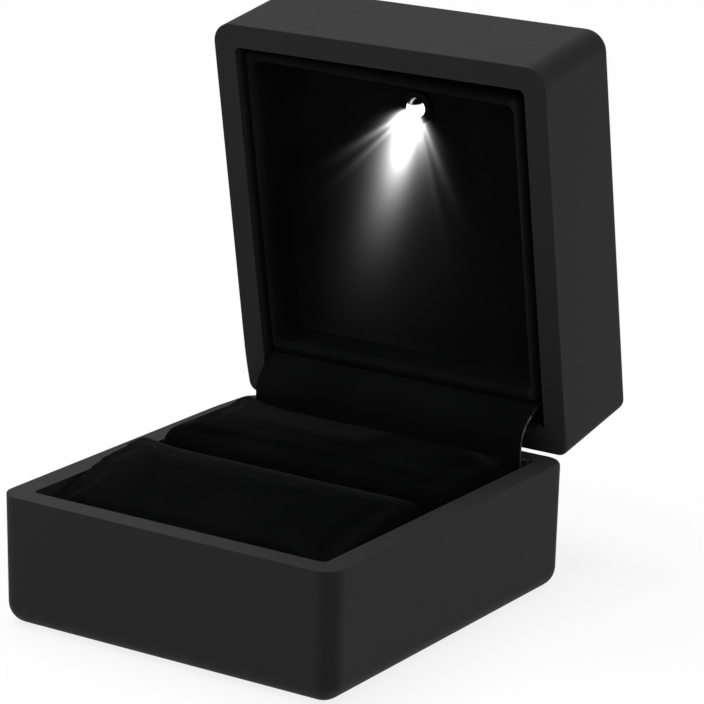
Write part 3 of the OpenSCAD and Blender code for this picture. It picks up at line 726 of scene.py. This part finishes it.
# The lip has a painted highlight, most of all along its right side. Each mark runs from where it
# starts to where it is full, in millimetres up from the lip or in from the lining's side.
lip_highlight, lip_highlight_share = (2, 0.5), 0.25
side_highlight_inner, side_highlight_outer = (2.2, 1.6), (0.4, 0.9)
# The lamp's light on the panel is painted into the velvet as emission; these numbers place it.
glow_at = (1.3, -18.3)      # where the light starts on the panel, in millimetres
glow_high = 1.5             # how far above the panel it still falls on the velvet
# Each part of the painted light: its strength 8 mm from the lamp, its direction and half-width in
# degrees from straight down the panel, and the distance in millimetres over which it fades.
glow_from = 8
glow_parts = [(1.17, -22.6, 6.0, 5.4),
              (2.06, -25.2, 10.9, 2.9),
              (0.028, -14.6, 16.0, 12.0),
              (0.21, -48.9, 7.6, 1.2),
              (0.36, -55.2, 1.8, 2.65),
              (0.41, -47.3, 1.4, 2.8),
              (0.13, 1.4, 4.2, 2.2),
              (0.10, 4.7, 12.8, 1.7),
              (0.080, 7.9, 2.2, 3.5),
              (0.085, 19.2, 3.1, 2.7)]


def panel_place(tree, place):
    """Millimetres across and down the lining's panel from the light, and height in the lid."""
    flat = add_node(tree, "ShaderNodeMapping", (-1200, -800))
    turn = Matrix.Rotation(open_turn, 3, "X")
    flat.inputs["Rotation"].default_value = (open_turn, 0, 0)
    flat.inputs["Scale"].default_value = (1 / mm, 1 / mm, 1 / mm)
    flat.inputs["Location"].default_value = (pin_at - turn @ pin_at) / mm - Vector((*glow_at, 0))
    tree.links.new(place, flat.inputs["Vector"])
    split = add_node(tree, "ShaderNodeSeparateXYZ")
    tree.links.new(flat.outputs[0], split.inputs[0])
    return split.outputs


def square(tree, value):
    return calculate(tree, "MULTIPLY", value, value)


def add_painted_glow(tree, shader, place):
    """Painted lamp light on the panel, in emission: a broad beam and a few narrow rays fading
    outwards.
    """
    across, down, deep = panel_place(tree, place)
    far = calculate(tree, "POWER", calculate(
        tree, "ADD", square(tree, across), square(tree, down)), 0.5)
    angle = calculate(tree, "DEGREES", calculate(tree, "ARCTAN2", across, down))
    total = None
    for strength, direction, half_wide, fade in glow_parts:
        aside = calculate(tree, "DIVIDE", calculate(tree, "SUBTRACT", angle, direction),
                          half_wide)
        bell = calculate(tree, "MULTIPLY", square(tree, aside), -0.5)
        along = calculate(tree, "DIVIDE", calculate(tree, "SUBTRACT", glow_from, far), fade)
        part = calculate(tree, "MULTIPLY", calculate(
            tree, "EXPONENT", calculate(tree, "ADD", bell, along)), strength)
        total = calculate(tree, "ADD", total, part) if total else part
    on_panel = calculate(tree, "GREATER_THAN", deep, panel_face / mm - glow_high)
    total = calculate(tree, "MULTIPLY", total, on_panel)
    tree.links.new(blend_colours(tree, total, (0, 0, 0), (1, 1, 1)),
                   shader.inputs["Emission Color"])
    shader.inputs["Emission Strength"].default_value = 1


def lip_painted_highlight(x, y, z):
    """Painted highlight on the lip, strongest along its right side."""
    inwards, up = lining_half_wide / mm - x, z - lining_low / mm
    side = smooth_step(*side_highlight_inner, inwards) * smooth_step(*side_highlight_outer, inwards)
    return smooth_step(*lip_highlight, up) * (lip_highlight_share + (1 - lip_highlight_share) * side)


lining = add_block("lid_lining", (-lining_half_wide, lining_y[0], lining_low),
                   (lining_half_wide, lining_y[1], lining_back))
round_edges(lining, (upright_edge, lining_corner, inner_steps))
combine(lining, hollow_cutter(
    (lining_thick - lining_half_wide, lining_y[0] + lining_thick, lining_low - overshoot),
    (lining_half_wide - lining_thick, lining_y[1] - lining_thick, panel_face), lining_inner))
round_edges(lining, (lambda edge: level_edge_at(lining_low)(edge)
                     and edge.calc_face_angle(0) > 0.5, lip_round, rim_steps))
combine(lining, add_rod(lamp_x, lamp_y, panel_face - overshoot, lining_back + overshoot,
                        lamp_hole))
apply_modifier(lining, "REMESH", mode="VOXEL", voxel_size=lining_voxel)
apply_modifier(lining, "SMOOTH", factor=0.5, iterations=2)
for vert in lining.data.vertices:
    across = vert.co.x / lining_half_wide
    near_front = smooth_step(0, lining_y[0], vert.co.y)
    vert.co.y += lining_skew * across * near_front
pick_only(lining)
bpy.ops.object.shade_smooth()
note_painted_highlight(lining, lip_painted_highlight)
swing_open(lining)
# The lining's velvet carries the lamp's painted light and the lip's painted highlight.
dress(lining, add_velvet("painted_light_velvet", velvet_dark, velvet_nap_and_highlight, velvet_sheen, add_painted_glow))
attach(lining, "lid")
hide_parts("lid_liner")

# ---------------------------------------------------------------------------------------
# Lining tape: four punched discs of pale foam tape with glue on both faces.
# One sits on each post of the lid, and the lining's board is pressed onto them.
foam_tape, tree, shader, place = start_material("foam_tape")
cells = spread(tree, add_noise(tree, place, 2600, 4, 0.7), 0.35, 0.65)
tree.links.new(blend_colours(tree, cells, (0.52, 0.50, 0.44), (0.70, 0.68, 0.62)),
               shader.inputs["Base Color"])
shader.inputs["Roughness"].default_value = 0.85
add_bump(tree, shader, cells, 0.05 * mm, 0.6)
dress(nodes["liner_tape"], foam_tape)

# ---------------------------------------------------------------------------------------
# Lamp: a white diode with a domed lens, soldered to the board behind the lining.
# Its lens stands through the lining's hole, in a turned black ring that is pressed in.
# The light comes out of the lower part of the lens; its upper part is painted dark, with a
# painted glint.
lens_wide, foot_wide, foot_high = 3 * mm, 3.8 * mm, 1 * mm
lens_tip, lens_foot = 27.15 * mm, 31.55 * mm
tip_flat = 0.05 * mm        # how much of the radius the dome's rounding leaves
ring_wide, ring_barrel, ring_bore = 5.6 * mm, 4.24 * mm, 3.2 * mm
ring_face, ring_end = 28.65 * mm, 30.35 * mm
ring_round, ring_sunk = 0.35 * mm, 0.2 * mm
# The places on the lens are in millimetres from where the light starts on the panel.
lit_from, lit_blur = -0.6, 0.25
# A painted glint on the upper part of the lens: its place, half-widths and share.
painted_glint_at, painted_glint_half, painted_glint_share = (-0.05, -1.15), (0.22, 0.4), 0.5
# The upper part of the lens is painted dark; its lower part is pale where it glows.
lens_painted_dark, lens_pale = (0.004, 0.0045, 0.0045), (0.85, 0.87, 0.88)
ring_tones = (0.0006, 0.0008, 0.0007), (0.0014, 0.0016, 0.0015)

lens = add_rod(lamp_x, lamp_y, lens_tip, lens_foot, lens_wide)
lens.name = lens.data.name = "lamp_lens"
round_edges(lens, (level_edge_at(lens_tip), lens_wide / 2 - tip_flat, edge_steps))
combine(lens, add_rod(lamp_x, lamp_y, lens_foot - foot_high, lens_foot, foot_wide), "UNION")
bpy.ops.object.shade_smooth_by_angle(angle=math.radians(40))
swing_open(lens)
epoxy, tree, shader, place = start_material("lit_lens")
across, down, deep = panel_place(tree, place)
haze = spread(tree, add_noise(tree, place, 900, 3), 0.3, 0.7, 0.9, 1.0)
lit = spread(tree, down, lit_from - lit_blur, lit_from)
# Painted glint: a small bright spot added to the lens's colour and glow.
aside, above = (calculate(tree, "DIVIDE", calculate(tree, "SUBTRACT", way, middle), half)
                for way, middle, half in zip((across, down), painted_glint_at, painted_glint_half))
painted_glint = calculate(tree, "EXPONENT", calculate(tree, "MULTIPLY", calculate(
    tree, "ADD", square(tree, aside), square(tree, above)), -1))
lit = calculate(tree, "MULTIPLY", calculate(tree, "ADD", lit, calculate(
    tree, "MULTIPLY", painted_glint, painted_glint_share)), haze)
tree.links.new(blend_colours(tree, lit, lens_painted_dark, lens_pale), shader.inputs["Base Color"])
tree.links.new(blend_colours(tree, lit, (0, 0, 0), (1, 1, 1)), shader.inputs["Emission Color"])
shader.inputs["Emission Strength"].default_value = 1.5
shader.inputs["Roughness"].default_value = 0.3
shader.inputs["Specular IOR Level"].default_value = 0.1
dress(lens, epoxy)
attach(lens, "lid")
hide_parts("led_lamp")

ring = add_rod(lamp_x, lamp_y, ring_face, panel_face, ring_wide)
ring.name = ring.data.name = "lamp_ring"
round_edges(ring, (level_edge_at(ring_face), ring_round, 4))
combine(ring, add_rod(lamp_x, lamp_y, panel_face - ring_sunk, ring_end, ring_barrel), "UNION")
combine(ring, add_rod(lamp_x, lamp_y, ring_face - overshoot, ring_end + overshoot, ring_bore))
bpy.ops.object.shade_smooth_by_angle(angle=math.radians(40))
swing_open(ring)
ring_plastic, tree, shader, place = start_material("ring_plastic")
scuffed = spread(tree, add_noise(tree, place, 1200, 4), 0.35, 0.65)
tree.links.new(blend_colours(tree, scuffed, *ring_tones), shader.inputs["Base Color"])
tree.links.new(spread(tree, scuffed, 0, 1, 0.55, 0.7), shader.inputs["Roughness"])
shader.inputs["Specular IOR Level"].default_value = 0.04
# The ring carries the lamp's painted light too, as emission.
add_painted_glow(tree, shader, place)
dress(ring, ring_plastic)
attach(ring, "lid")
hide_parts("led_bezel")

# ---------------------------------------------------------------------------------------
# Hinge: two pressed steel leaves with rolled knuckles, nickel-plated and drawn across.
# The knuckles turn on a pin of bright drawn steel, inside the notches at the back.


def add_metal(name, dark, light, rough, stretch, grain=1500):
    """Metal with fine draw marks: stretch is small along the marks."""
    material, tree, shader, place = start_material(name)
    marks = spread(tree, add_noise(tree, place, grain, 4, 0.6, stretch), 0.3, 0.7)
    tarnish = spread(tree, add_noise(tree, place, 180, 4), 0.45, 0.75)
    tree.links.new(blend_colours(tree, tarnish, light, dark), shader.inputs["Base Color"])
    tree.links.new(spread(tree, marks, 0, 1, rough, rough + 0.16), shader.inputs["Roughness"])
    shader.inputs["Metallic"].default_value = 1
    add_bump(tree, shader, marks, 0.01 * mm, 0.5)
    return material


nickel = add_metal("nickel_plate", (0.42, 0.40, 0.36), (0.62, 0.60, 0.56), 0.22, (0.08, 1, 1))
dress(nodes["hinge_base_leaf"], nickel)
dress(nodes["hinge_lid_leaf"], nickel)
dress(nodes["hinge_pin"], add_metal("drawn_steel", (0.36, 0.36, 0.36), (0.55, 0.55, 0.56), 0.18,
                                    (0.05, 1, 1)))

# ---------------------------------------------------------------------------------------
# Screws: small zinc-plated steel screws, driven into the moulded cases.
# They hold the hinge's leaves to the back walls, and the lamp's board to its bosses.
zinc = add_metal("zinc_plate", (0.40, 0.41, 0.42), (0.60, 0.61, 0.62), 0.28, (1, 1, 1), 2600)
for node in ("hinge_base_screws", "hinge_lid_screws", "board_screws"):
    dress(nodes[node], zinc)

# ---------------------------------------------------------------------------------------
# Snap spring: a bowed strip of blued spring steel between the two leaves.
# It pushes the lid past the middle of its way, so that it snaps open and shut.
dress(nodes["snap_spring"], add_metal("spring_steel", (0.16, 0.17, 0.20), (0.30, 0.32, 0.36),
                                      0.24, (1, 0.08, 0.08)))

# ---------------------------------------------------------------------------------------
# Lamp board: a small circuit board, copper tracks under a green mask, hidden in the lid.
# It is screwed to three bosses, and carries the lamp, the cells, the resistor and the switch.
track_pattern = {"Scale": 260, "Mortar Size": 0.012, "Row Height": 0.31, "Brick Width": 0.93}
mask_tones = (0.006, 0.045, 0.022), (0.010, 0.065, 0.030)
bare_tones = (0.006, 0.050, 0.024, 1), (0.008, 0.058, 0.028, 1)
track_tone = (0.030, 0.120, 0.060, 1)
mask, tree, shader, place = start_material("green_mask")
tracks = add_node(tree, "ShaderNodeTexBrick", (-900, 200))
for name, value in track_pattern.items():
    tracks.inputs[name].default_value = value
tracks.inputs["Color1"].default_value, tracks.inputs["Color2"].default_value = bare_tones
tracks.inputs["Mortar"].default_value = track_tone
tree.links.new(place, tracks.inputs["Vector"])
weave = spread(tree, add_noise(tree, place, 700, 4), 0.3, 0.7)
both = add_node(tree, "ShaderNodeMix", data_type="RGBA", blend_type="LIGHTEN")
both.inputs["Factor"].default_value = 1
tree.links.new(tracks.outputs["Color"], both.inputs[6])
tree.links.new(blend_colours(tree, weave, *mask_tones), both.inputs[7])
tree.links.new(both.outputs[2], shader.inputs["Base Color"])
shader.inputs["Roughness"].default_value = 0.35
dress(nodes["circuit_board"], mask)

# ---------------------------------------------------------------------------------------
# Cells: two steel button cells stacked in a moulded black holder on the board.
# A brass tongue under them and a brass clip over them take the current.
holder_plastic, tree, shader, place = start_material("holder_plastic")
flow = spread(tree, add_noise(tree, place, 240, 4, 0.6, (1, 1, 3)), 0.35, 0.65)
tree.links.new(blend_colours(tree, flow, (0.016, 0.016, 0.017), (0.030, 0.030, 0.031)),
               shader.inputs["Base Color"])
tree.links.new(spread(tree, flow, 0, 1, 0.42, 0.55), shader.inputs["Roughness"])
dress(nodes["battery_holder"], holder_plastic)
stainless = add_metal("cell_steel", (0.45, 0.45, 0.44), (0.66, 0.66, 0.65), 0.20, (1, 1, 1), 3000)
for node in ("cell_lower", "cell_upper"):
    dress(nodes[node], stainless)
brass = add_metal("contact_brass", (0.45, 0.31, 0.13), (0.62, 0.46, 0.22), 0.24, (0.1, 1, 1))
for node in ("contact_tongue", "contact_clip"):
    dress(nodes[node], brass)

# ---------------------------------------------------------------------------------------
# Tilt switch: a tinned can with a brass ball in it, closed by a moulded plug with two pins.
# It is soldered to the board. The ball rolls onto the pins when the lid stands up.
tinned = add_metal("tinned_wire", (0.48, 0.48, 0.46), (0.66, 0.66, 0.64), 0.30, (1, 1, 1), 2400)
dress(nodes["tilt_switch_can"], tinned)
dress(nodes["tilt_switch_header"], holder_plastic)
dress(nodes["tilt_switch_ball"], brass)

# ---------------------------------------------------------------------------------------
# Leads and resistor: tinned wires soldered into the board, for the lamp and the resistor.
# The resistor is a small lacquered rod with plain bands of colour round it.
resistor_low, resistor_long = 66.57 * mm, 3.66 * mm
beige, brown, black = (0.55, 0.43, 0.26, 1), (0.25, 0.10, 0.03, 1), (0.01, 0.01, 0.01, 1)
red, ochre = (0.40, 0.03, 0.02, 1), (0.42, 0.30, 0.10, 1)
# Each band starts at a share of the rod's length and lasts to the next one.
bands = [(0.0, beige), (0.16, brown), (0.26, beige), (0.36, black), (0.46, beige),
         (0.56, red), (0.66, beige), (0.78, ochre), (0.88, beige)]
lacquer, tree, shader, place = start_material("resistor_body")
split = add_node(tree, "ShaderNodeSeparateXYZ")
tree.links.new(place, split.inputs[0])
share = calculate(tree, "MULTIPLY", calculate(
    tree, "SUBTRACT", split.outputs["Z"], resistor_low), 1 / resistor_long)
banding = add_node(tree, "ShaderNodeValToRGB")
banding.color_ramp.interpolation = "CONSTANT"
stops = banding.color_ramp.elements
for index, (start, colour) in enumerate(bands):
    stop = stops[index] if index < 2 else stops.new(start)
    stop.position = start
    stop.color = colour
tree.links.new(share, banding.inputs["Fac"])
tree.links.new(banding.outputs["Color"], shader.inputs["Base Color"])
tree.links.new(spread(tree, add_noise(tree, place, 2000, 3), 0.3, 0.7, 0.32, 0.45),
               shader.inputs["Roughness"])
dress(nodes["resistor"], lacquer)
for node in ("led_leads", "resistor_leads"):
    dress(nodes[node], tinned)
